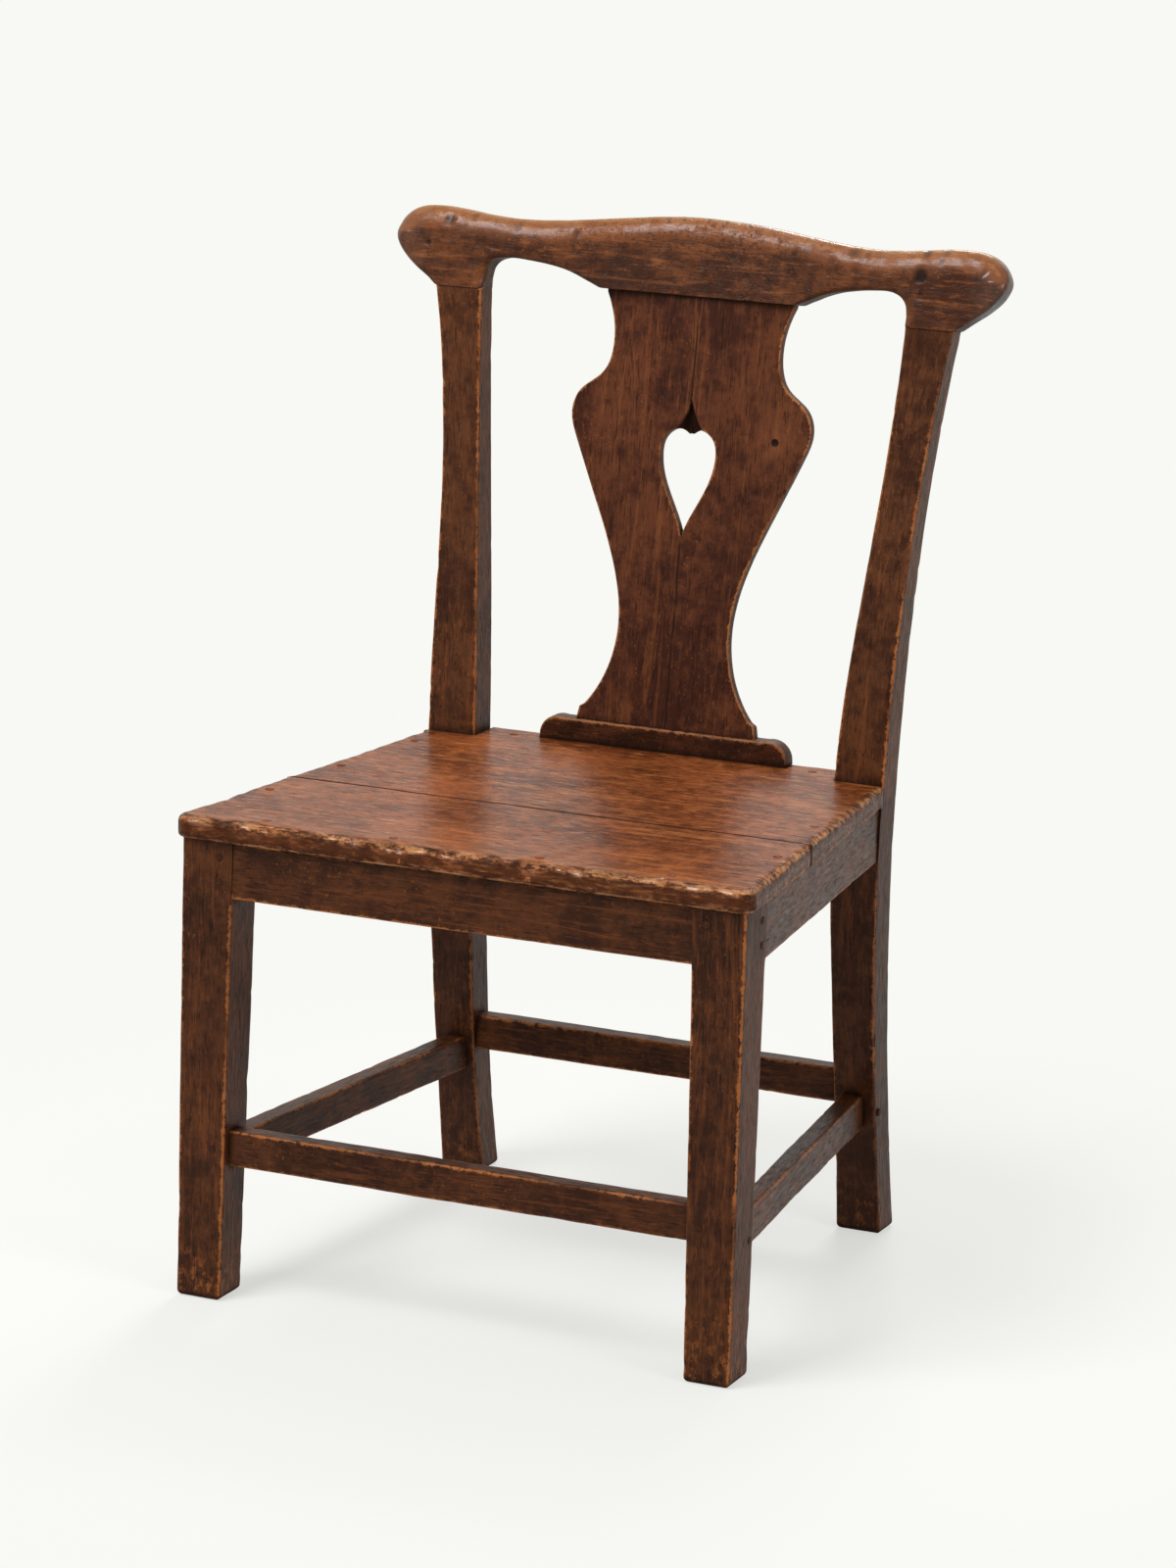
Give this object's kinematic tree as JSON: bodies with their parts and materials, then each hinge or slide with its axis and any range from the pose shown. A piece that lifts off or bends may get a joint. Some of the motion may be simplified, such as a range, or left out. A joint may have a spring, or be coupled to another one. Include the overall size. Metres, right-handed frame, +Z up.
{
  "type": "side chair",
  "caption": "Country Chippendale side chair in dark oak with a pierced vase splat, serpentine crest rail, plank seat and box stretcher.",
  "frame": {"origin": "on the floor, under the middle of the chair's bounding box", "axes": "+Z up, +Y towards the back of the chair, +X to the right of someone who faces it from the front"},
  "size_m": [0.604, 0.5382, 0.9294],
  "materials": {
    "frame_oak": "old dark reddish-brown stain under wax, worn lighter along the edges",
    "seat_oak": "waxed and worn by sitting to a soft gloss, paler than the frame",
    "peg_oak": "bare end grain under wax"
  },
  "bodies": {
    "root": {"front_leg_left": "frame_oak", "front_leg_right": "frame_oak", "back_post_left": "frame_oak", "back_post_right": "frame_oak", "side_seat_rail_left": "frame_oak", "side_seat_rail_right": "frame_oak", "side_stretcher_left": "frame_oak", "side_stretcher_right": "frame_oak", "front_seat_rail": "frame_oak", "rear_seat_rail": "frame_oak", "front_stretcher": "frame_oak", "rear_stretcher": "frame_oak", "crest_rail": "frame_oak", "splat": "frame_oak", "shoe": "frame_oak", "seat_board_front": "seat_oak", "seat_board_rear": "seat_oak", "rail_pegs": "peg_oak", "stretcher_pegs": "peg_oak", "crest_pegs": "peg_oak", "seat_pegs": "peg_oak"}
  },
  "joints": []
}
